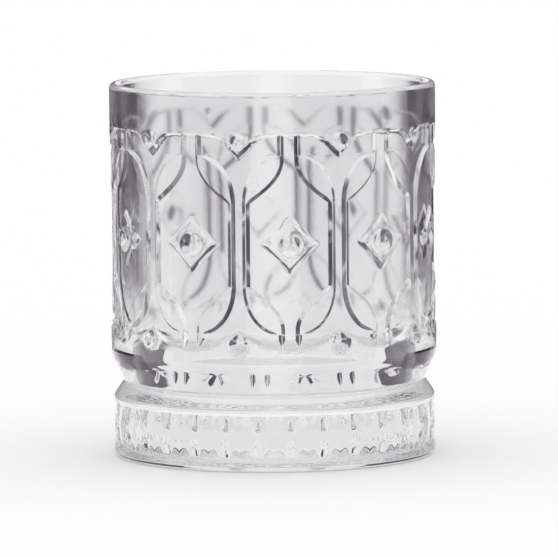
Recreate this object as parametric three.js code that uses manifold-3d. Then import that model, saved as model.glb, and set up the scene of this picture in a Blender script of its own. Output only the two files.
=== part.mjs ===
// Whisky tumbler of clear pressed glass: a plain drinking rim, a wall with a raised lattice of bars, leaves
// and stars, a shoulder above a waist groove, and a solid foot ringed with diamonds. The glass is one casting;
// its four zones are kept as four solids that meet on level planes.
// Millimetres, +Z up, standing on z = 0. Azimuth is zero at -Y and grows towards +X.
import * as THREE from "three";
import { ConvexGeometry } from "three/addons/geometries/ConvexGeometry.js";
import { mergeVertices } from "three/addons/utils/BufferGeometryUtils.js";
import Module from "manifold-3d";

// Heights of the zones, from the table up
const FOOT_MARGIN = 3.7;
const DIAMOND_HEIGHT = 10.7;
const FOOT_CAP_HEIGHT = 1.4;
const LOWER_SLOPE_HEIGHT = 4.1;
const UPPER_SLOPE_HEIGHT = 6.3;
const BORDER_HEIGHT = 4;
const FIELD_HEIGHT = 55.3;
const BAND_HEIGHT = 11;

// Outside: the rim band's radius, what lies inside it, and roundings
const BAND_RADIUS = 42;
const WAIST_DEPTH = 3.1;
const FOOT_SETBACK = 0.4;
const FOOT_EDGE_ROUNDING = 1.7;
const FOOT_TOP_ROUNDING = 0.8;
const BORDER_ROUNDING = 1.6;

// Inside of the bowl and the underside
const RIM_THICKNESS = 2.6;
const WALL_THICKNESS_AT_FLOOR = 4.5;
const FLOOR_THICKNESS = 14;
const FLOOR_CURVE_WIDTH = 7;
const FLOOR_CURVE_HEIGHT = 6;
const BEARING_WIDTH = 10.9;
const RECESS_DEPTH = 1.2;
const RECESS_SLOPE_WIDTH = 2.4;

// Lattice on the wall: its ground lies behind the rim band, and its pieces stand out from the ground
const PANEL_COUNT = 10;
const FIELD_DEPTH = 1;
const LEAF_RELIEF = 0.82;
const LEAF_BEVEL = 0.95;
const BAR_RELIEF = 0.62;
const BAR_WIDTH = 1.97;
const BAR_GAP = 1.76;
const END_BAR_WIDTH = 1.64;
const END_BAR_GAP = 2.66;
const END_BAR_LENGTH = 4.9;
const LEAF_RISE = 12.2;
const LEAF_INNER_RUN = 11.1;
const LEAF_TIP_SETBACK = 1;
const RELIEF_ROOT = 0.3;

// Borders of the lattice: the lower one ends in a hollow slope, the upper one is a short step up to the rim band
const LOWER_EDGE_RISE = 0.7;
const HOLLOW_SLOPE_HEIGHT = 3.9;
const UPPER_STEP_HEIGHT = 1.2;

// Stars: whole ones in the panels, half ones where the lattice meets its borders
const STAR_REACH = 7.3;
const STAR_RELIEF = 0.6;
const HALF_STAR_REACH = 5.8;
const HALF_STAR_RELIEF = 0.7;
const STAR_CONCAVITY = 0.9;
const STAR_BEVEL = 0.8;
const STAR_DIMPLE_RADIUS = 3;
const HALF_STAR_DIMPLE_RADIUS = 2.5;
const DIMPLE_DEPTH = 0.55;

// Diamonds round the foot: the notches are the triangles left between them
const DIAMOND_COUNT = 30;
const NOTCH_WIDTH = 4.4;
const NOTCH_DEPTH = 1.2;

// Fineness of the facets
const ROUND_SEGMENTS = 60;
const ARC_STEPS = 4;
const LEAF_STEPS = 5;
const STAR_SPOKES = 16;
const DIMPLE_SPOKES = 12;
const DIMPLE_RINGS = 2;

// Levels and radii that follow from the sizes above
const footTop = FOOT_MARGIN + DIAMOND_HEIGHT + FOOT_CAP_HEIGHT;
const waistLevel = footTop + LOWER_SLOPE_HEIGHT;
const borderBottom = waistLevel + UPPER_SLOPE_HEIGHT;
const fieldBottom = borderBottom + BORDER_HEIGHT;
const fieldTop = fieldBottom + FIELD_HEIGHT;
const fieldMiddle = (fieldBottom + fieldTop) / 2;
const height = fieldTop + BAND_HEIGHT;
const fieldRadius = BAND_RADIUS - FIELD_DEPTH;
const waistRadius = BAND_RADIUS - WAIST_DEPTH;
const footRadius = BAND_RADIUS - FOOT_SETBACK;
const recessRadius = footRadius - FOOT_EDGE_ROUNDING - BEARING_WIDTH;
const lipRadius = RIM_THICKNESS / 2;
const floorInside = fieldRadius - WALL_THICKNESS_AT_FLOOR;

const wasm = await Module();
wasm.setup();

// A closed geometry as a solid that can be joined and cut
function solid(geometry) {
  geometry.deleteAttribute("normal");
  geometry.deleteAttribute("uv");
  const merged = mergeVertices(geometry);
  return new wasm.Manifold(
    new wasm.Mesh({
      numProp: 3,
      vertProperties: new Float32Array(merged.attributes.position.array),
      triVerts: new Uint32Array(merged.index.array),
    }),
  );
}

// Points of an oval arc in a profile of radius and height, both ends included; angles in degrees
function arc(radius, level, halfWidth, halfHeight, from, to) {
  return Array.from({ length: ARC_STEPS + 1 }, (_, step) => {
    const angle = THREE.MathUtils.degToRad(from + ((to - from) * step) / ARC_STEPS);
    return new THREE.Vector2(radius + halfWidth * Math.cos(angle), level + halfHeight * Math.sin(angle));
  });
}

// The corner of a profile at "corner", rounded so that the arc starts and ends "size" away from it
function rounded(before, corner, after, size) {
  const start = corner.clone().add(before.clone().sub(corner).setLength(size));
  const end = corner.clone().add(after.clone().sub(corner).setLength(size));
  const curve = new THREE.QuadraticBezierCurve(start, corner, end);
  return curve.getPoints(ARC_STEPS - 2);
}

// The plain body of revolution, from the axis under the foot round to the axis on the bowl's floor
function plainGlass() {
  const footEdge = new THREE.Vector2(footRadius, FOOT_EDGE_ROUNDING);
  const footCorner = new THREE.Vector2(footRadius, footTop);
  const waist = new THREE.Vector2(waistRadius, waistLevel);
  const borderCorner = new THREE.Vector2(BAND_RADIUS, borderBottom);
  const lowerEdge = new THREE.Vector2(BAND_RADIUS, fieldBottom + LOWER_EDGE_RISE);
  const slopeEnd = new THREE.Vector2(fieldRadius, lowerEdge.y + HOLLOW_SLOPE_HEIGHT);
  const slopeBend = new THREE.Vector2(fieldRadius, lowerEdge.y + HOLLOW_SLOPE_HEIGHT / 2);
  const slope = new THREE.QuadraticBezierCurve(lowerEdge, slopeBend, slopeEnd);
  const footArc = [footRadius - footEdge.y, footEdge.y, FOOT_EDGE_ROUNDING, FOOT_EDGE_ROUNDING];
  const lipArc = [BAND_RADIUS - lipRadius, height - lipRadius, lipRadius, lipRadius];
  const floorCurveTop = FLOOR_THICKNESS + FLOOR_CURVE_HEIGHT;
  const floorArc = [floorInside - FLOOR_CURVE_WIDTH, floorCurveTop, FLOOR_CURVE_WIDTH, FLOOR_CURVE_HEIGHT];
  const profile = [
    new THREE.Vector2(0, RECESS_DEPTH),
    new THREE.Vector2(recessRadius - RECESS_SLOPE_WIDTH, RECESS_DEPTH),
    new THREE.Vector2(recessRadius, 0),
    ...arc(...footArc, -90, 0),
    ...rounded(footEdge, footCorner, waist, FOOT_TOP_ROUNDING),
    waist,
    ...rounded(waist, borderCorner, lowerEdge, BORDER_ROUNDING),
    ...slope.getPoints(ARC_STEPS - 2),
    new THREE.Vector2(fieldRadius, fieldTop),
    new THREE.Vector2(BAND_RADIUS, fieldTop + UPPER_STEP_HEIGHT),
    ...arc(...lipArc, 0, 180),
    ...arc(...floorArc, 0, -90),
    new THREE.Vector2(0, FLOOR_THICKNESS),
  ];
  const geometry = new THREE.LatheGeometry(profile, ROUND_SEGMENTS);
  geometry.rotateX(Math.PI / 2);
  return solid(geometry);
}

// A point on the wall: "across" runs round the field from -Y towards +X, "rise" stands out from it
function onWall(across, level, rise) {
  const azimuth = across / fieldRadius;
  const radius = fieldRadius + rise;
  return new THREE.Vector3(radius * Math.sin(azimuth), -radius * Math.cos(azimuth), level);
}

// A solid through a row of closed sections with equally many points, closed at both ends by a fan
function loft(sections) {
  const ring = sections[0].length;
  const ends = [sections[0], sections.at(-1)];
  const hubs = ends.map((end) => end.reduce((sum, p) => sum.add(p), new THREE.Vector3()).divideScalar(ring));
  const points = [...sections.flat(), ...hubs];
  const lastRing = ring * (sections.length - 1);
  const hub = ring * sections.length;
  const faces = [];
  for (let i = 0; i < ring; i += 1) {
    const next = (i + 1) % ring;
    for (let base = 0; base < lastRing; base += ring) {
      faces.push(base + i, base + next, base + ring + next);
      faces.push(base + i, base + ring + next, base + ring + i);
    }
    faces.push(hub, next, i);
    faces.push(hub + 1, lastRing + i, lastRing + next);
  }
  const geometry = new THREE.BufferGeometry().setFromPoints(points);
  geometry.setIndex(faces);
  return solid(geometry);
}

const panelWidth = (2 * Math.PI * fieldRadius) / PANEL_COUNT;
const sideBarOuter = (panelWidth - BAR_GAP) / 2;
const sideBarInner = sideBarOuter - BAR_WIDTH;
const endBarInner = END_BAR_GAP / 2;
const endBarOuter = endBarInner + END_BAR_WIDTH;
const leafTip = FIELD_HEIGHT / 2 - END_BAR_LENGTH;
const leafOuterStart = leafTip - LEAF_RISE;
const leafInnerEnd = leafTip - LEAF_TIP_SETBACK;
const leafInnerStart = leafInnerEnd - LEAF_INNER_RUN;
const rootSpread = (RELIEF_ROOT * LEAF_BEVEL) / LEAF_RELIEF;

// Edge of a rib away from its panel's middle line, at a distance above or below the field's middle:
// upright beside the next panel, then a quarter ellipse in to the end bar
function ribOuterEdge(distance) {
  const turn = THREE.MathUtils.clamp((distance - leafOuterStart) / LEAF_RISE, 0, 1);
  return endBarOuter + (sideBarOuter - endBarOuter) * Math.sqrt(1 - turn * turn);
}

// Edge of a rib towards its panel's middle line: upright, then a parabola that ends along the end bar
function ribInnerEdge(distance) {
  const turn = THREE.MathUtils.clamp((distance - leafInnerStart) / LEAF_INNER_RUN, 0, 1);
  return endBarInner + (sideBarInner - endBarInner) * (1 - turn) ** 2;
}

// Heights of a rib's sections, counted from the field's middle, from its lower end to its upper one
function ribLevels() {
  const bend = Math.min(leafInnerStart, leafOuterStart);
  const leaf = Array.from(
    { length: LEAF_STEPS },
    (_, step) => bend + (leafTip - bend) * Math.sin((Math.PI * (step + 1)) / (2 * LEAF_STEPS)),
  );
  const upper = [bend, ...leaf, FIELD_HEIGHT / 2 + UPPER_STEP_HEIGHT];
  return [...upper.toReversed().map((level) => -level), ...upper];
}

// One rib of a panel's outline: bar, leaf, bar, leaf and bar in one bevelled strip that rises where it widens.
// Its side is -1 or 1.
function rib(panel, side) {
  const sections = ribLevels().map((level) => {
    const inner = ribInnerEdge(Math.abs(level));
    const outer = ribOuterEdge(Math.abs(level));
    const rise = Math.min(LEAF_RELIEF, (BAR_RELIEF * (outer - inner)) / BAR_WIDTH);
    const bevel = (LEAF_BEVEL * rise) / LEAF_RELIEF;
    const loop = [
      [inner - rootSpread, -RELIEF_ROOT],
      [inner + bevel, rise],
      [(inner + outer) / 2, rise],
      [outer - bevel, rise],
      [outer + rootSpread, -RELIEF_ROOT],
    ].map(([across, out]) => onWall(panel * panelWidth + side * across, fieldMiddle + level, out));
    return side > 0 ? loop : loop.reverse();
  });
  return loft(sections);
}

// A four-pointed star with hollow sides and a bevelled edge, standing on the wall
function star(across, level, reach, relief) {
  const ringAt = (share, rise) =>
    Array.from({ length: STAR_SPOKES }, (_, spoke) => {
      const angle = (2 * Math.PI * spoke) / STAR_SPOKES;
      const along = Math.abs(Math.cos(angle)) ** STAR_CONCAVITY;
      const up = Math.abs(Math.sin(angle)) ** STAR_CONCAVITY;
      const radius = (share * reach) / (along + up) ** (1 / STAR_CONCAVITY);
      return onWall(across + radius * Math.cos(angle), level + radius * Math.sin(angle), rise);
    });
  const rootShare = 1 + (RELIEF_ROOT * STAR_BEVEL) / (relief * reach);
  return loft([ringAt(rootShare, -RELIEF_ROOT), ringAt(1 - STAR_BEVEL / reach, relief)]);
}

// Turns a cutter, drawn with x across, y up and z outwards, to an azimuth at a radius and a level
function placed(geometry, azimuth, radius, level) {
  const across = new THREE.Vector3(Math.cos(azimuth), Math.sin(azimuth), 0);
  const up = new THREE.Vector3(0, 0, 1);
  const outwards = new THREE.Vector3(Math.sin(azimuth), -Math.cos(azimuth), 0);
  const place = new THREE.Matrix4().makeBasis(across, up, outwards);
  place.setPosition(outwards.multiplyScalar(radius).setZ(level));
  return solid(geometry.applyMatrix4(place));
}

// Ball that presses a round dimple into a star's middle
function dimpleBall(across, level, radius, relief) {
  const ball = (radius * radius + DIMPLE_DEPTH * DIMPLE_DEPTH) / (2 * DIMPLE_DEPTH);
  const halfAngle = Math.asin(radius / ball);
  const rings = Math.round((Math.PI * DIMPLE_RINGS) / halfAngle);
  const geometry = new THREE.SphereGeometry(ball, DIMPLE_SPOKES, rings);
  geometry.rotateX(Math.PI / 2);
  const bottom = fieldRadius + relief - DIMPLE_DEPTH;
  return placed(geometry, across / fieldRadius, bottom + ball, level);
}

// Three-sided notch between two diamonds: its point is at the band's middle, it is deepest at the band's edge.
// It is drawn half as large again as the notch about its deepest corner, to reach out of the glass.
function notch(azimuth, upwards) {
  const deepest = new THREE.Vector3(0, (upwards * DIAMOND_HEIGHT) / 2, -NOTCH_DEPTH);
  const corners = [
    new THREE.Vector3(0, 0, 0),
    new THREE.Vector3(-NOTCH_WIDTH / 2, deepest.y, 0),
    new THREE.Vector3(NOTCH_WIDTH / 2, deepest.y, 0),
  ];
  const reaching = corners.map((corner) => corner.sub(deepest).multiplyScalar(1.5).add(deepest));
  const geometry = new ConvexGeometry([deepest, ...reaching]);
  return placed(geometry, azimuth, footRadius, FOOT_MARGIN + DIAMOND_HEIGHT / 2);
}

// The whole glass with its relief, dimples and notches
function patternedGlass() {
  const raised = [];
  const cutters = [];
  for (let panel = 0; panel < PANEL_COUNT; panel += 1) {
    const middle = panel * panelWidth;
    const seam = middle + panelWidth / 2;
    raised.push(rib(panel, -1), rib(panel, 1), star(middle, fieldMiddle, STAR_REACH, STAR_RELIEF));
    cutters.push(dimpleBall(middle, fieldMiddle, STAR_DIMPLE_RADIUS, STAR_RELIEF));
    for (const border of [fieldBottom, fieldTop]) {
      raised.push(star(seam, border, HALF_STAR_REACH, HALF_STAR_RELIEF));
      cutters.push(dimpleBall(seam, border, HALF_STAR_DIMPLE_RADIUS, HALF_STAR_RELIEF));
    }
  }
  for (let diamond = 0; diamond < DIAMOND_COUNT; diamond += 1) {
    const azimuth = (2 * Math.PI * diamond) / DIAMOND_COUNT;
    cutters.push(notch(azimuth, 1), notch(azimuth, -1));
  }
  const joined = raised.reduce((glass, piece) => glass.add(piece), plainGlass());
  return cutters.reduce((glass, cutter) => glass.subtract(cutter), joined);
}

// The part of the glass between two levels, as a mesh of its own
function zone(name, glass, low, high) {
  const reach = 2 * (BAND_RADIUS + footRadius);
  const slab = new THREE.BoxGeometry(reach, reach, high - low);
  slab.translate(0, 0, (low + high) / 2);
  const { vertProperties, triVerts } = glass.intersect(solid(slab)).getMesh();
  const geometry = new THREE.BufferGeometry();
  geometry.setAttribute("position", new THREE.BufferAttribute(new Float32Array(vertProperties), 3));
  geometry.setIndex(new THREE.BufferAttribute(new Uint32Array(triVerts), 1));
  geometry.computeVertexNormals();
  const material = new THREE.MeshStandardMaterial({
    color: 0xe8e8ec,
    roughness: 0.02,
    metalness: 0,
    transparent: true,
    opacity: 0.35,
  });
  const mesh = new THREE.Mesh(geometry, material);
  mesh.name = name;
  return mesh;
}

const glass = patternedGlass();
const tumbler = new THREE.Group();
tumbler.name = "whisky_glass";
tumbler.add(
  zone("foot", glass, -RECESS_DEPTH, waistLevel),
  zone("shoulder", glass, waistLevel, fieldBottom),
  zone("lattice_wall", glass, fieldBottom, fieldTop),
  zone("rim", glass, fieldTop, height + RIM_THICKNESS),
);

export default tumbler;
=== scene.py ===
"""Whisky tumbler of clear pressed glass on a pale floor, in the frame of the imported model.

The whole glass is one closed skin, because light has to pass through it without meeting an inner wall.
Its rings run from the middle of the underside up the outside, over the lip and down the inside to the
middle of the bowl's floor. Azimuth is zero at -Y and grows towards +X.
"""

import bpy
import numpy as np
from mathutils import Matrix, Vector


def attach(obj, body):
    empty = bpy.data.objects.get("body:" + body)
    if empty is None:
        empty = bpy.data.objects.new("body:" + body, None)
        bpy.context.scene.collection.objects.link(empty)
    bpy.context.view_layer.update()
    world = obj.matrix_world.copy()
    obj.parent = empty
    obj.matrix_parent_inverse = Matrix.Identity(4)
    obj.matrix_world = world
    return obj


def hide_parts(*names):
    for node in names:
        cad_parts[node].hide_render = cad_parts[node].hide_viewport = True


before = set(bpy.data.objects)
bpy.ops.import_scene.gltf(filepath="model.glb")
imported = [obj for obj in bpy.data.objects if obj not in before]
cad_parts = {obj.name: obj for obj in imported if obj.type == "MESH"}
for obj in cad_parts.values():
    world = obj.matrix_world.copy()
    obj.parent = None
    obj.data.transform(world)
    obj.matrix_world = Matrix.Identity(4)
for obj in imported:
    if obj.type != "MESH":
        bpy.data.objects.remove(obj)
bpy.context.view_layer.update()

# Sizes of the glass in millimetres, as in the part's source, with the band a hair slimmer
FOOT_MARGIN = 3.7
DIAMOND_HEIGHT = 10.7
FOOT_TOP = 15.8
WAIST_LEVEL = 19.9
BORDER_BOTTOM = 26.2
FIELD_BOTTOM = 30.2
FIELD_TOP = 85.5
HEIGHT = 96.5
BAND_RADIUS = 41.995
WAIST_RADIUS = 38.9
FOOT_RADIUS = 41.6
FOOT_EDGE_ROUNDING = 1.7
FOOT_TOP_ROUNDING = 0.8
BORDER_ROUNDING = 1.6
LIP_RADIUS = 1.3
FLOOR_INSIDE_RADIUS = 36.5
FLOOR_LEVEL = 14.0
FLOOR_CURVE_WIDTH = 7.0
FLOOR_CURVE_HEIGHT = 6.0
RECESS_RADIUS = 29.0
RECESS_DEPTH = 1.2
RECESS_SLOPE_WIDTH = 2.4

# Rounding of the groove's bottom, which is sharp in the solids
WAIST_ROUNDING = 0.5

# The lattice: heights over its ground, outlines, and the most of a rib's width that a flank takes
FIELD_DEPTH = 1.0
LEAF_RELIEF = 0.82
BAR_RELIEF = 0.62
FLANK = 0.95
FLANK_SHARE = 0.45
BAR_WIDTH = 1.97
BAR_GAP = 1.76
END_BAR_WIDTH = 1.64
END_BAR_GAP = 2.66
END_BAR_LENGTH = 4.9
END_BAR_RELIEF = 0.95
LEAF_RISE = 12.2
LEAF_INNER_RUN = 11.1
LEAF_TIP_SETBACK = 1.0
STAR_REACH = 7.3
STAR_CONCAVITY = 0.9
STAR_RELIEF = 0.6
STAR_FLANK = 0.8
STAR_DIMPLE_RADIUS = 3.0
STAR_DIMPLE_DEPTH = 1.1

# The borders of the lattice, which reach into it in a point between every two panels
UPPER_FLANK = 0.6
POINT_FLANK = 1.0
UPPER_POINT = 5.8
UPPER_STEEPNESS = 1.1
UPPER_FILLET = 1.6
LOWER_EDGE_RISE = 0.7
LOWER_POINT = 4.3
LOWER_STEEPNESS = 0.72
LOWER_FILLET = 2.8
LEAST_SLOPE = 0.9
UPPER_DIMPLE_RADIUS = 2.1
UPPER_DIMPLE_DEPTH = 0.75
UPPER_DIMPLE_SETBACK = 1.4
LOWER_DIMPLE_RADIUS = 2.4
LOWER_DIMPLE_DEPTH = 1.2
LOWER_DIMPLE_SETBACK = 2.8
PANELS = 10

# The diamonds, which are low pyramids; a notch between two is as wide as half their pitch
DIAMONDS = 30
DIAMOND_RELIEF = 0.5
NOTCH_DEPTH = 1.2
LEDGE = 0.05

# Places that follow from the sizes above
FIELD_RADIUS = BAND_RADIUS - FIELD_DEPTH
FIELD_MIDDLE = (FIELD_BOTTOM + FIELD_TOP) / 2
FIELD_HALF = (FIELD_TOP - FIELD_BOTTOM) / 2
HALF_PANEL = np.pi * FIELD_RADIUS / PANELS
SIDE_OUTER = HALF_PANEL - BAR_GAP / 2
SIDE_INNER = SIDE_OUTER - BAR_WIDTH
END_INNER = END_BAR_GAP / 2
END_OUTER = END_INNER + END_BAR_WIDTH
LEAF_TIP = FIELD_HALF - END_BAR_LENGTH
LEAF_OUTER_START = LEAF_TIP - LEAF_RISE
LEAF_INNER_END = LEAF_TIP - LEAF_TIP_SETBACK
LEAF_INNER_START = LEAF_INNER_END - LEAF_INNER_RUN

# Support rings: how far they lie from a corner, and how long a stretch has to be to get them
SUPPORT = 0.2
LONG_STRETCH = 8.0 * SUPPORT

# Cells across half a panel, and columns round the lattice and round the plain parts
STAR_CELLS = 10
INSIDE_CELLS = 14
FLANK_CELLS = 3
CROWN_CELLS = 4
POINT_CELLS = 8
OUTSIDE_CELLS = 12
HALF_CELLS = INSIDE_CELLS + 2 * FLANK_CELLS + CROWN_CELLS + OUTSIDE_CELLS
FINE = 2 * HALF_CELLS * PANELS
PLAIN = FINE // 2

# Rows of the diamonds, the groove's upper slope, the border, the lattice and the band
DIAMOND_ROWS = 7
SLOPE_ROWS = 5
BORDER_ROWS = 3
BAR_ROWS = 3
LEAF_ROWS = 13
LOWER_END_ROWS = 7
UPPER_END_ROWS = 12
BAND_EDGE_ROWS = 3
BAND_EDGE_HEIGHT = 1.2
BAND_ROWS = 6

# Share of the band's height over which its columns slide to even places
BAND_SLIDE = 0.8

# Steps of the curves of the profiles
FOOT_EDGE_STEPS = 8
FOOT_TOP_STEPS = 6
WAIST_STEPS = 4
BORDER_STEPS = 6
LIP_STEPS = 10
FLOOR_CURVE_STEPS = 14

# Radius of the innermost ring under the foot and on the bowl's floor
HUB_RADIUS = 2.0

# Least values that keep a division or a comparison safe
LEAST_FALL = 0.05
HAIR = 1e-6

# In metres, as the frame is
MILLIMETRE = 0.001

# Finishes of the glass, in the order of its materials
CLEAR = 0
INSIDE = 1
# The underside and foot finishes carry a darker tint than the walls: painted shade on the same glass
UNDERSIDE = 2
FOOT = 3

# Glass: grains per metre, heights in metres, and the two shades of a faint tint; the foot's two shades are
# darker, painted shade that dims the foot and the underside
GLASS_REFRACTION = 1.52
POLISHED_ROUGHNESS = 0.0
INSIDE_ROUGHNESS = 0.12
UNDERSIDE_ROUGHNESS = 0.05
WAVE_GRAIN = 140.0
WAVE_HEIGHT = 0.00004
STIPPLE_GRAIN = 900.0
STIPPLE_HEIGHT = 0.006
GRAIN_DETAIL = 2.0
GRAIN_STRENGTH = 0.25
WALL_SHADES = (0.885, 0.882, 0.890), (0.915, 0.910, 0.917)
# Painted shade: a darker tint for the foot and the underside, which are the same glass as the walls
FOOT_PAINTED_SHADES = (0.72, 0.71, 0.725), (0.78, 0.77, 0.78)
SHARP_ANGLE = np.radians(32.0)

# Floor and studio, in metres and radians
FLOOR_HALF_WIDTH = 8.0
FLOOR_GLOW = 0.2
PALE_COLOUR = (0.8, 0.8, 0.8)
DARK_COLOUR = (0.045, 0.028, 0.05)
WHITE = (1.0, 1.0, 1.0, 1.0)
WINDOWS = 4
WINDOW_LOW_HALF = np.radians(20.0)
WINDOW_HIGH_HALF = np.radians(3.0)
DARK_CARD_DISTANCE = 0.25
DARK_CARD_HEIGHT = 0.18
WHITE_CARD_DISTANCE = 0.11
WHITE_CARD_HEIGHT = 0.012
WHITE_CARD_GLOW = 0.4
CARD_STEPS = 48

# Camera, in radians and metres, with the lens in millimetres
CAMERA_AZIMUTH = np.radians(-5.8)
CAMERA_ELEVATION = np.radians(5.72)
CAMERA_ROLL = np.radians(-0.49)
CAMERA_DISTANCE = 1.789
FOCAL_LENGTH = 446.7
SENSOR_WIDTH = 36.0
AIM_RIGHT = 0.00139
AIM_HEIGHT = 0.04525
FARTHEST_SEEN = 50.0

# A ray crosses many faces of the lattice before it leaves the glass
LIGHT_BOUNCES = 32


def ramp(t):
    """Soft ramp: three squares of t less two cubes, flat outside 0 to 1."""
    t = np.clip(t, 0.0, 1.0)
    return t * t * (3.0 - 2.0 * t)


def around(azimuth, radius, height):
    """Points round the axis: the radius times the azimuth's sine towards +X and its cosine towards -Y."""
    x = radius * np.sin(azimuth)
    y = -radius * np.cos(azimuth)
    return np.stack(np.broadcast_arrays(x, y, height), axis=-1)


def arc(radius, level, size, start, end, steps):
    """Points of a circular arc of a profile, angles in degrees, as rows of radius and height."""
    angle = np.radians(np.linspace(start, end, steps + 1))
    return np.stack([radius + size * np.cos(angle), level + size * np.sin(angle)], axis=1)


def supported(profile):
    """A profile with two more points on each long stretch, close to its ends, so that smooth shading turns
    only near its corners."""
    start, end = profile[:-1], profile[1:]
    length = np.linalg.norm(end - start, axis=1)[:, None]
    step = (end - start) / length * SUPPORT
    rows = np.stack([start, start + step, end - step], axis=1)
    is_long = length > LONG_STRETCH
    kept = np.concatenate([np.ones_like(is_long), is_long, is_long], axis=1)
    return np.concatenate([rows[kept], profile[-1:]])


def rounded(before, corner, after, size, steps):
    """A profile's corner as a parabola that starts and ends "size" away from the corner along its sides."""
    before, corner, after = (np.asarray(point, float) for point in (before, corner, after))
    start = corner + (before - corner) / np.linalg.norm(before - corner) * size
    end = corner + (after - corner) / np.linalg.norm(after - corner) * size
    t = np.linspace(0.0, 1.0, steps + 1)[:, None]
    return (1 - t) ** 2 * start + 2 * t * (1 - t) * corner + t * t * end


def rib_edges(distance):
    """Inner and outer edge of a rib, how high it stands, and how wide its flanks are, at a distance from the
    field's middle.

    The outer edge is upright, then a quarter ellipse in to the end bar. The inner edge is upright, then a
    parabola that ends along the end bar. A rib's height grows with its width, the end bar ramps up to the
    leaves' height, and nothing stands higher than that. A flank is wider where its edge slants, so that it
    keeps its slope.
    """
    turn = np.clip((distance - LEAF_OUTER_START) / LEAF_RISE, 0.0, 1.0)
    fall = np.sqrt(1.0 - turn**2)
    outer = END_OUTER + (SIDE_OUTER - END_OUTER) * fall
    outer_slant = (SIDE_OUTER - END_OUTER) / LEAF_RISE * turn / np.maximum(fall, LEAST_FALL)
    turn = np.clip((distance - LEAF_INNER_START) / LEAF_INNER_RUN, 0.0, 1.0)
    inner = END_INNER + (SIDE_INNER - END_INNER) * (1.0 - turn) ** 2
    inner_slant = np.where(turn > 0.0, 2.0 * (SIDE_INNER - END_INNER) / LEAF_INNER_RUN * (1.0 - turn), 0.0)
    width = outer - inner
    end_rise = END_BAR_RELIEF * ramp((distance - LEAF_TIP + END_BAR_LENGTH) / END_BAR_LENGTH)
    rise = np.clip(BAR_RELIEF * width / BAR_WIDTH, end_rise, LEAF_RELIEF)
    inner_flank = np.minimum(FLANK * np.hypot(1.0, inner_slant), FLANK_SHARE * width)
    outer_flank = np.minimum(FLANK * np.hypot(1.0, outer_slant), FLANK_SHARE * width)
    return inner, outer, rise, inner_flank, outer_flank


def star_height(across, up, reach):
    """Four-pointed star: the sum of a power of both distances gives the hollow-sided outline, and the height
    ramps up inside it over the flank."""
    size = (np.abs(across) ** STAR_CONCAVITY + np.abs(up) ** STAR_CONCAVITY) ** (1.0 / STAR_CONCAVITY)
    return STAR_RELIEF * ramp((reach - size) / (STAR_FLANK * np.sqrt(2.0)))


def dimple(across, up, radius, depth):
    """Round hollow: a paraboloid, deepest in its middle and level with the surface at its radius."""
    return depth * np.clip(1.0 - (across**2 + up**2) / radius**2, 0.0, 1.0)


def border_point(seam, depth, steepness, fillet):
    """How far a border reaches into the field, at a distance from the seam between two panels: a hyperbola
    between a slanting line from the point and the border's own level."""
    slant = depth - steepness * seam
    return (slant + np.hypot(slant, fillet)) / 2.0


def borders(seam, level):
    """Height of the two borders over the field. The upper one is a soft step. The lower one is a hollow
    slope: the cube of the share of the way from the end bars' upper ends down to its scalloped edge."""
    over = level - FIELD_HALF
    upper_edge = border_point(seam, UPPER_POINT, UPPER_STEEPNESS, UPPER_FILLET)
    upper_flank = UPPER_FLANK + POINT_FLANK * upper_edge / UPPER_POINT
    upper = FIELD_DEPTH * ramp((over + upper_edge) / upper_flank)
    under = -level - FIELD_HALF
    lower_edge = LOWER_EDGE_RISE + border_point(seam, LOWER_POINT, LOWER_STEEPNESS, LOWER_FILLET)
    slope = np.maximum(END_BAR_LENGTH - lower_edge, LEAST_SLOPE)
    lower = FIELD_DEPTH * np.clip((under + lower_edge + slope) / slope, 0.0, 1.0) ** 3
    return np.maximum(upper, lower)


def relief(across, level):
    """Height of the pattern over the field, from the way across a panel's middle line and the height over
    the field's middle: the highest of the borders, the ribs with their straight flanks and the star, less
    the dimples."""
    u = np.abs(across)
    d = np.abs(level)
    seam = HALF_PANEL - u
    border = borders(seam, level)
    inner, outer, rise, inner_flank, outer_flank = rib_edges(np.minimum(d, FIELD_HALF))
    rib = np.clip(np.minimum((u - inner) / inner_flank, (outer - u) / outer_flank), 0.0, 1.0)
    height = np.maximum(np.maximum(border, rib * rise), star_height(u, d, STAR_REACH))
    upper_centre = FIELD_HALF - UPPER_DIMPLE_SETBACK
    lower_centre = LOWER_DIMPLE_SETBACK - FIELD_HALF
    height -= dimple(u, d, STAR_DIMPLE_RADIUS, STAR_DIMPLE_DEPTH)
    height -= dimple(seam, level - upper_centre, UPPER_DIMPLE_RADIUS, UPPER_DIMPLE_DEPTH)
    height -= dimple(seam, level - lower_centre, LOWER_DIMPLE_RADIUS, LOWER_DIMPLE_DEPTH)
    return height


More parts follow.
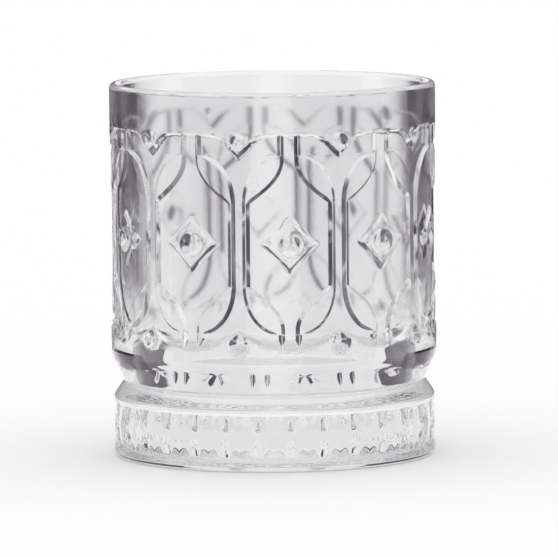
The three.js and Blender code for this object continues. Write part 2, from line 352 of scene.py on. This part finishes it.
def lattice_columns(level):
    """Places of the grid's columns across one panel, one row per level: they follow the ribs' edges, and
    between them are evenly spaced where the stars lie, so that flanks and stars fall on grid lines."""
    edges = rib_edges(np.minimum(np.abs(level), FIELD_HALF))
    inner, outer, _, inner_flank, outer_flank = (edge[:, None] for edge in edges)
    star = np.linspace(0.0, STAR_REACH, STAR_CELLS + 1)
    beside = np.linspace(STAR_REACH, SIDE_INNER, INSIDE_CELLS - STAR_CELLS + 1)[1:]
    inside = np.concatenate([star, beside]) / SIDE_INNER
    point = np.linspace(0.0, UPPER_POINT, POINT_CELLS + 1)
    beyond = np.linspace(UPPER_POINT, HALF_PANEL - END_OUTER, OUTSIDE_CELLS - POINT_CELLS + 1)[1:-1]
    outside = np.concatenate([point, beyond])[::-1] / (HALF_PANEL - END_OUTER)
    flank = np.arange(1, FLANK_CELLS + 1) / FLANK_CELLS
    crown = np.arange(1, CROWN_CELLS + 1) / CROWN_CELLS
    half = np.concatenate(
        [
            inner * inside,
            inner + inner_flank * flank,
            inner + inner_flank + (outer - inner - inner_flank - outer_flank) * crown,
            outer - outer_flank + outer_flank * flank,
            HALF_PANEL - (HALF_PANEL - outer) * outside,
        ],
        axis=1,
    )
    return np.concatenate([-half[:, :0:-1], half[:, :-1]], axis=1)


def lattice_levels():
    """Rows of the field over its middle: even where the whole stars lie, then crowding towards the leaves'
    tips, then even again over the end bars, closer at the upper border with its thin edge."""
    star = np.linspace(0.0, STAR_REACH, STAR_CELLS + 1)[1:]
    bar = np.linspace(STAR_REACH, LEAF_OUTER_START, BAR_ROWS + 1)[1:]
    leaf = LEAF_OUTER_START + LEAF_RISE * np.sin(np.linspace(0.0, np.pi / 2, LEAF_ROWS + 1)[1:])
    half = np.concatenate([star, bar, leaf])
    lower_end = np.linspace(LEAF_TIP, FIELD_HALF, LOWER_END_ROWS + 1)[1:]
    upper_end = np.linspace(LEAF_TIP, FIELD_HALF, UPPER_END_ROWS + 1)[1:]
    return np.concatenate([-lower_end[::-1], -half[::-1], [0.0], half, upper_end])


def patterned_rings():
    """Rings from the waist to the lip, fine columns: the upper slope of the groove, the border, the lattice
    field and the plain band. Columns slide from the lattice's places to even ones over the groove and the
    band."""
    waist = np.array([WAIST_RADIUS, WAIST_LEVEL])
    edge = [BAND_RADIUS, BORDER_BOTTOM]
    corner = rounded(waist, edge, [BAND_RADIUS, FIELD_BOTTOM], BORDER_ROUNDING, BORDER_STEPS)
    slope_end = corner[0] + (waist - corner[0]) / np.linalg.norm(waist - corner[0]) * SUPPORT
    plain_low = np.concatenate([np.linspace(waist, slope_end, SLOPE_ROWS + 1)[1:], corner])
    border = np.linspace(BORDER_BOTTOM + BORDER_ROUNDING + SUPPORT, FIELD_BOTTOM, BORDER_ROWS + 1)[:-1]
    band_start = FIELD_TOP + BAND_EDGE_HEIGHT
    band_edge = np.linspace(FIELD_TOP, band_start, BAND_EDGE_ROWS + 1)[1:]
    band = np.linspace(band_start, HEIGHT - LIP_RADIUS - SUPPORT, BAND_ROWS + 1)[1:]
    patterned = np.concatenate([border, FIELD_MIDDLE + lattice_levels(), band_edge, band])
    level = np.concatenate([plain_low[:, 1], patterned]) - FIELD_MIDDLE
    even = np.linspace(-HALF_PANEL, HALF_PANEL, 2 * HALF_CELLS + 1)[:-1]
    slide_low = ramp((level + FIELD_MIDDLE - WAIST_LEVEL) / (BORDER_BOTTOM + BORDER_ROUNDING - WAIST_LEVEL))
    slide_high = ramp((HEIGHT - LIP_RADIUS - FIELD_MIDDLE - level) / (BAND_SLIDE * (HEIGHT - FIELD_TOP)))
    kept = np.minimum(slide_low, slide_high)[:, None]
    across = kept * lattice_columns(level) + (1.0 - kept) * even
    radius = FIELD_RADIUS + relief(across, level[:, None])
    radius[: len(plain_low)] = plain_low[:, :1]
    azimuth = across / FIELD_RADIUS
    turn = np.arange(PANELS)[:, None] * 2.0 * np.pi / PANELS
    azimuth = (azimuth[:, None, :] + turn).reshape(len(level), FINE)
    radius = np.tile(radius, PANELS)
    height = np.repeat(level[:, None] + FIELD_MIDDLE, FINE, axis=1)
    return azimuth, radius, height


def even_azimuth(columns):
    """Azimuths of evenly spaced columns, starting at the edge of the first panel."""
    return np.arange(columns) * 2.0 * np.pi / columns - np.pi / PANELS


def turned_rings(profile):
    """Rings of a plain turned surface: every column has the profile's radius and height."""
    azimuth = np.repeat(even_azimuth(PLAIN)[None], len(profile), axis=0)
    radius = np.repeat(profile[:, :1], PLAIN, axis=1)
    height = np.repeat(profile[:, 1:], PLAIN, axis=1)
    return azimuth, radius, height


def diamond_rings():
    """Rings of the diamond band. A diamond is a low pyramid: it falls evenly with the sum of the shares of
    the way up and across to its corners. Above and below every touching point of two diamonds is a notch:
    its depth falls evenly from the band's edge to the middle and from the notch's middle line to its sides,
    so it is made of two flat facets. A ledge closes it at the band's edge."""
    way = np.linspace(-1.0, 1.0, DIAMOND_ROWS)
    level = FOOT_MARGIN + DIAMOND_HEIGHT / 2 + way * (DIAMOND_HEIGHT / 2 - LEDGE)
    share = np.abs(way)[:, None]
    azimuth = np.repeat(even_azimuth(PLAIN)[None], DIAMOND_ROWS, axis=0)
    pitch = 2.0 * np.pi / DIAMONDS
    from_notch = np.abs((azimuth + pitch / 2) % pitch - pitch / 2)
    from_middle = 1.0 - from_notch / (pitch / 2)
    notch = NOTCH_DEPTH * np.clip(share - from_notch / (pitch / 4), 0.0, 1.0)
    depth = notch + DIAMOND_RELIEF * np.minimum(share + from_middle, 1.0)
    return azimuth, FOOT_RADIUS - depth, np.repeat(level[:, None], PLAIN, axis=1)


def underside_profile():
    """Straight lines from the middle of the recess, down its slope and over the bearing ring."""
    return np.array(
        [
            [HUB_RADIUS, RECESS_DEPTH],
            [RECESS_RADIUS - RECESS_SLOPE_WIDTH, RECESS_DEPTH],
            [RECESS_RADIUS, 0.0],
            [FOOT_RADIUS - FOOT_EDGE_ROUNDING, 0.0],
        ]
    )


def foot_edge_profile():
    """A quarter circle from the bearing ring to the foot's side, then a line up to the diamonds."""
    centre = FOOT_RADIUS - FOOT_EDGE_ROUNDING
    edge = arc(centre, FOOT_EDGE_ROUNDING, FOOT_EDGE_ROUNDING, -90, 0, FOOT_EDGE_STEPS)
    return np.concatenate([edge[1:], [[FOOT_RADIUS, FOOT_MARGIN]]])


def foot_top_profile():
    """From the diamonds over the foot's rounded top and down to the rounded bottom of the groove."""
    side = [FOOT_RADIUS, FOOT_MARGIN + DIAMOND_HEIGHT]
    corner = [FOOT_RADIUS, FOOT_TOP]
    waist = [WAIST_RADIUS, WAIST_LEVEL]
    top = rounded(side, corner, waist, FOOT_TOP_ROUNDING, FOOT_TOP_STEPS)
    groove = rounded(corner, waist, [BAND_RADIUS, BORDER_BOTTOM], WAIST_ROUNDING, WAIST_STEPS)
    return np.concatenate([[side], top, groove])


def inside_profiles():
    """The inside as two profiles: the wall, a line from the lip down to behind the foot of the lattice, and
    the bowl's floor, the wall's lower end with a quarter ellipse and a level line to the middle."""
    curve_top = FLOOR_LEVEL + FLOOR_CURVE_HEIGHT
    wall_top = np.array([BAND_RADIUS - 2 * LIP_RADIUS, HEIGHT - LIP_RADIUS - SUPPORT])
    wall_end = np.array([FLOOR_INSIDE_RADIUS, curve_top + SUPPORT])
    lattice_share = (wall_top[1] - FIELD_BOTTOM) / (wall_top[1] - wall_end[1])
    wall = np.stack([wall_top, wall_top + (wall_end - wall_top) * lattice_share])
    curve = arc(0.0, 0.0, 1.0, 0, -90, FLOOR_CURVE_STEPS) * [FLOOR_CURVE_WIDTH, FLOOR_CURVE_HEIGHT]
    curve += [FLOOR_INSIDE_RADIUS - FLOOR_CURVE_WIDTH, curve_top]
    bowl_floor = np.concatenate([[wall_end], curve, [[HUB_RADIUS, FLOOR_LEVEL]]])
    return wall, bowl_floor


def glass_stretches():
    """The stretches of rings in order, each with its finish. A patterned one also has how often its pattern
    repeats and the level of the pattern's middle. The inside is rough behind the lattice, which softens the
    rear of the pattern, and clear below it."""
    wall, bowl_floor = inside_profiles()
    lip = arc(BAND_RADIUS - LIP_RADIUS, HEIGHT - LIP_RADIUS, LIP_RADIUS, 0, 180, LIP_STEPS)
    return [
        (turned_rings(supported(underside_profile())), UNDERSIDE, None),
        (turned_rings(supported(foot_edge_profile())), FOOT, None),
        (diamond_rings(), FOOT, (DIAMONDS, FOOT_MARGIN + DIAMOND_HEIGHT / 2 - LEDGE)),
        (turned_rings(supported(foot_top_profile())), CLEAR, None),
        (patterned_rings(), CLEAR, (PANELS, FIELD_MIDDLE)),
        (turned_rings(lip), CLEAR, None),
        (turned_rings(supported(wall)), INSIDE, None),
        (turned_rings(supported(bowl_floor)), CLEAR, None),
    ]


def falling_cells(azimuth, height, pattern):
    """Which cells are cut along the falling diagonal: those right of the middle line of each repeat and over
    the pattern's middle, and those left of the line and below, so that facets mirror as the pattern does."""
    if pattern is None:
        return np.zeros(azimuth.shape, bool)
    repeats, middle = pattern
    pitch = 2.0 * np.pi / repeats
    right = (azimuth + HAIR + pitch / 2) % pitch > pitch / 2
    return right == (height[:, :1] > middle)


def strip(first, second, columns, falls):
    """Triangles between two rings with equally many points, each cell cut along the diagonal asked for."""
    column = np.arange(columns)
    following = (column + 1) % columns
    a, b = first + column, first + following
    c, d = second + following, second + column
    rising = np.stack([np.stack([a, b, c], 1), np.stack([a, c, d], 1)], 1)
    falling = np.stack([np.stack([a, b, d], 1), np.stack([b, c, d], 1)], 1)
    return np.where(falls[:, None, None], falling, rising).reshape(-1, 3)


def doubling(coarse, fine, columns):
    """Triangles from a ring of so many points up to one with twice as many: three to each cell."""
    column = np.arange(columns)
    following = (column + 1) % columns
    left, middle, right = fine + 2 * column, fine + 2 * column + 1, fine + 2 * following
    a, b = coarse + column, coarse + following
    corners = [(a, b, middle), (a, middle, left), (b, right, middle)]
    return np.concatenate([np.stack(corner, 1) for corner in corners])


def join_rings(last, last_columns, first, columns):
    """Triangles from the last ring of a stretch to the first ring of the next, which has as many points,
    twice as many or half as many."""
    if last_columns == columns:
        return strip(last, first, columns, np.zeros(columns, bool))
    if last_columns < columns:
        return doubling(last, first, last_columns)
    return doubling(first, last, columns)[:, ::-1]


def fan(middle, ring, columns, inwards):
    """Triangles that close a ring round its middle point."""
    column = np.arange(columns)
    following = (column + 1) % columns
    hub = np.full(columns, middle)
    rim = [ring + column, ring + following] if inwards else [ring + following, ring + column]
    return np.stack([hub, *rim], 1)


def glass_skin():
    """All points in metres, triangles and finishes of the glass: the stretches' rings joined one to the
    next, with one middle point at each end."""
    points = []
    faces = []
    finishes = []
    start = 0
    last_ring = None
    for (azimuth, radius, height), finish, pattern in glass_stretches():
        rings, columns = azimuth.shape
        points.append(around(azimuth, radius, height).reshape(-1, 3))
        falls = falling_cells(azimuth, height, pattern)
        blocks = [] if last_ring is None else [join_rings(*last_ring, start, columns)]
        for ring in range(rings - 1):
            lower = start + ring * columns
            blocks.append(strip(lower, lower + columns, columns, falls[ring]))
        faces += blocks
        finishes += [finish] * sum(len(block) for block in blocks)
        start += rings * columns
        last_ring = (start - columns, columns)
    points.append(np.array([[0.0, 0.0, RECESS_DEPTH], [0.0, 0.0, FLOOR_LEVEL]]))
    faces.append(fan(start, 0, PLAIN, False))
    faces.append(fan(start + 1, last_ring[0], PLAIN, True))
    finishes += [UNDERSIDE] * PLAIN + [CLEAR] * PLAIN
    return np.concatenate(points) * MILLIMETRE, np.concatenate(faces), np.array(finishes)


def mesh_object(name, points, faces, smooth):
    """A mesh object at the origin from an array of points and one of faces with equally many corners."""
    mesh = bpy.data.meshes.new(name)
    mesh.vertices.add(len(points))
    mesh.vertices.foreach_set("co", np.ascontiguousarray(points, np.float32).ravel())
    mesh.loops.add(faces.size)
    mesh.loops.foreach_set("vertex_index", np.ascontiguousarray(faces, np.int32).ravel())
    mesh.polygons.add(len(faces))
    mesh.polygons.foreach_set("loop_start", np.arange(0, faces.size, faces.shape[1], dtype=np.int32))
    mesh.update(calc_edges=True)
    mesh.validate()
    mesh.polygons.foreach_set("use_smooth", np.full(len(mesh.polygons), smooth))
    obj = bpy.data.objects.new(name, mesh)
    bpy.context.scene.collection.objects.link(obj)
    return obj


def pressed_glass(name, roughness, grain, grain_height, shades):
    """Clear pressed glass: a refracting body, faintly tinted between two shades by a noise, which also lifts
    its skin by the given height."""
    material = bpy.data.materials.new(name)
    material.use_nodes = True
    nodes = material.node_tree.nodes
    links = material.node_tree.links
    shader = nodes["Principled BSDF"]
    shader.inputs["Transmission Weight"].default_value = 1.0
    shader.inputs["IOR"].default_value = GLASS_REFRACTION
    shader.inputs["Roughness"].default_value = roughness
    place = nodes.new("ShaderNodeTexCoord")
    wave = nodes.new("ShaderNodeTexNoise")
    wave.inputs["Scale"].default_value = grain
    wave.inputs["Detail"].default_value = GRAIN_DETAIL
    bump = nodes.new("ShaderNodeBump")
    bump.inputs["Strength"].default_value = GRAIN_STRENGTH
    bump.inputs["Distance"].default_value = grain_height
    tint = nodes.new("ShaderNodeValToRGB")
    dark, light = shades
    tint.color_ramp.elements[0].color = (*dark, 1.0)
    tint.color_ramp.elements[1].color = (*light, 1.0)
    links.new(place.outputs["Object"], wave.inputs["Vector"])
    links.new(wave.outputs["Fac"], bump.inputs["Height"])
    links.new(wave.outputs["Fac"], tint.inputs["Fac"])
    links.new(tint.outputs["Color"], shader.inputs["Base Color"])
    links.new(bump.outputs["Normal"], shader.inputs["Normal"])
    return material


def tumbler():
    """The glass: its skin, smooth but for edges that turn by more than the sharp angle, in four finishes."""
    points, faces, finishes = glass_skin()
    glass = mesh_object("glass", points, faces, True)
    glass.data.set_sharp_from_angle(angle=SHARP_ANGLE)
    wave = (WAVE_GRAIN, WAVE_HEIGHT)
    stipple = (STIPPLE_GRAIN, STIPPLE_HEIGHT)
    materials = glass.data.materials
    materials.append(pressed_glass("fire_polished_glass", POLISHED_ROUGHNESS, *wave, WALL_SHADES))
    materials.append(pressed_glass("inside_of_bowl", INSIDE_ROUGHNESS, *wave, WALL_SHADES))
    # The underside and the foot get the darker tint: painted shade that dims the same glass there
    materials.append(pressed_glass("stippled_underside_painted_darker", UNDERSIDE_ROUGHNESS, *stipple, FOOT_PAINTED_SHADES))
    materials.append(pressed_glass("foot_glass_painted_darker", POLISHED_ROUGHNESS, *wave, FOOT_PAINTED_SHADES))
    glass.data.polygons.foreach_set("material_index", finishes.astype(np.int32))
    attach(glass, "root")
    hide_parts("foot", "shoulder", "lattice_wall", "rim")


def card_material(name, colour, glow):
    """Matt card of one colour with a little light of its own."""
    material = bpy.data.materials.new(name)
    material.use_nodes = True
    shader = material.node_tree.nodes["Principled BSDF"]
    shader.inputs["Base Color"].default_value = (*colour, 1.0)
    shader.inputs["Roughness"].default_value = 1.0
    shader.inputs["Specular IOR Level"].default_value = 0.0
    shader.inputs["Emission Color"].default_value = WHITE
    shader.inputs["Emission Strength"].default_value = glow
    return material


def pale_floor():
    """Wide pale floor: matt, with a little light of its own so that it shows white and keeps the glass's
    shadow. Through the glass it shows plain white."""
    half = FLOOR_HALF_WIDTH
    corners = np.array([[-half, -half, 0.0], [half, -half, 0.0], [half, half, 0.0], [-half, half, 0.0]])
    floor = mesh_object("floor", corners, np.array([[0, 1, 2, 3]]), False)
    material = card_material("pale_floor", PALE_COLOUR, FLOOR_GLOW)
    nodes = material.node_tree.nodes
    links = material.node_tree.links
    through_glass = nodes.new("ShaderNodeEmission")
    through_glass.inputs["Color"].default_value = WHITE
    through_glass.inputs["Strength"].default_value = 1.0
    ray = nodes.new("ShaderNodeLightPath")
    choice = nodes.new("ShaderNodeMixShader")
    links.new(ray.outputs["Is Transmission Ray"], choice.inputs[0])
    links.new(nodes["Principled BSDF"].outputs["BSDF"], choice.inputs[1])
    links.new(through_glass.outputs["Emission"], choice.inputs[2])
    links.new(choice.outputs["Shader"], nodes["Material Output"].inputs["Surface"])
    floor.data.materials.append(material)


def card(name, material, distance, low_ends, high_ends, top):
    """An upright strip of card bent round the glass, a part of a cylinder, whose lower and upper edge each
    run from one azimuth to another. It is seen only through and in the glass."""
    low_row = around(np.linspace(*low_ends, CARD_STEPS + 1), distance, 0.0)
    high_row = around(np.linspace(*high_ends, CARD_STEPS + 1), distance, top)
    low = np.arange(CARD_STEPS)
    high = low + CARD_STEPS + 1
    quads = np.stack([low, low + 1, high + 1, high], 1)
    strip_of_card = mesh_object(name, np.concatenate([low_row, high_row]), quads, True)
    strip_of_card.data.materials.append(material)
    strip_of_card.visible_camera = False
    strip_of_card.visible_diffuse = False
    strip_of_card.visible_shadow = False


def studio_cards():
    """Dark cards in a ring round the glass, with a window between every two that narrows upwards, which give
    its edges their dark lines, and a low white ring close to the foot, which keeps the foot bright."""
    full_turn = (0.0, 2.0 * np.pi)
    pitch = 2.0 * np.pi / WINDOWS
    dark = card_material("dark_card", DARK_COLOUR, 0.0)
    white = card_material("white_card", PALE_COLOUR, WHITE_CARD_GLOW)
    for number in range(WINDOWS):
        start = CAMERA_AZIMUTH + number * pitch
        end = start + pitch
        low_ends = (start + WINDOW_LOW_HALF, end - WINDOW_LOW_HALF)
        high_ends = (start + WINDOW_HIGH_HALF, end - WINDOW_HIGH_HALF)
        card(f"dark_card_{number + 1}", dark, DARK_CARD_DISTANCE, low_ends, high_ends, DARK_CARD_HEIGHT)
    card("white_card", white, WHITE_CARD_DISTANCE, full_turn, full_turn, WHITE_CARD_HEIGHT)


def white_world():
    """Even white light from all round."""
    world = bpy.data.worlds.new("white_studio")
    world.use_nodes = True
    background = world.node_tree.nodes["Background"]
    background.inputs["Color"].default_value = WHITE
    background.inputs["Strength"].default_value = 1.0
    bpy.context.scene.world = world


def camera():
    """Long lens a little above the rim: its line of sight is given by azimuth and elevation, it stands its
    distance back from the aim along that line, and it is turned about it by the roll."""
    ahead = Vector(
        (
            -np.sin(CAMERA_AZIMUTH) * np.cos(CAMERA_ELEVATION),
            np.cos(CAMERA_AZIMUTH) * np.cos(CAMERA_ELEVATION),
            -np.sin(CAMERA_ELEVATION),
        )
    )
    level_right = Vector((np.cos(CAMERA_AZIMUTH), np.sin(CAMERA_AZIMUTH), 0.0))
    level_up = level_right.cross(ahead)
    right = level_right * np.cos(CAMERA_ROLL) + level_up * np.sin(CAMERA_ROLL)
    up = level_up * np.cos(CAMERA_ROLL) - level_right * np.sin(CAMERA_ROLL)
    aim = level_right * AIM_RIGHT + Vector((0.0, 0.0, AIM_HEIGHT))
    lens = bpy.data.cameras.new("camera")
    lens.sensor_width = SENSOR_WIDTH
    lens.lens = FOCAL_LENGTH
    lens.clip_end = FARTHEST_SEEN
    holder = bpy.data.objects.new("camera", lens)
    bpy.context.scene.collection.objects.link(holder)
    turn = Matrix((right, up, -ahead)).transposed().to_4x4()
    holder.matrix_world = Matrix.Translation(aim - ahead * CAMERA_DISTANCE) @ turn
    bpy.context.scene.camera = holder


tumbler()
pale_floor()
studio_cards()
white_world()
camera()
bpy.context.scene.view_settings.view_transform = "Standard"
bpy.context.scene.cycles.max_bounces = LIGHT_BOUNCES
bpy.context.scene.cycles.transmission_bounces = LIGHT_BOUNCES
bpy.context.scene.cycles.glossy_bounces = LIGHT_BOUNCES
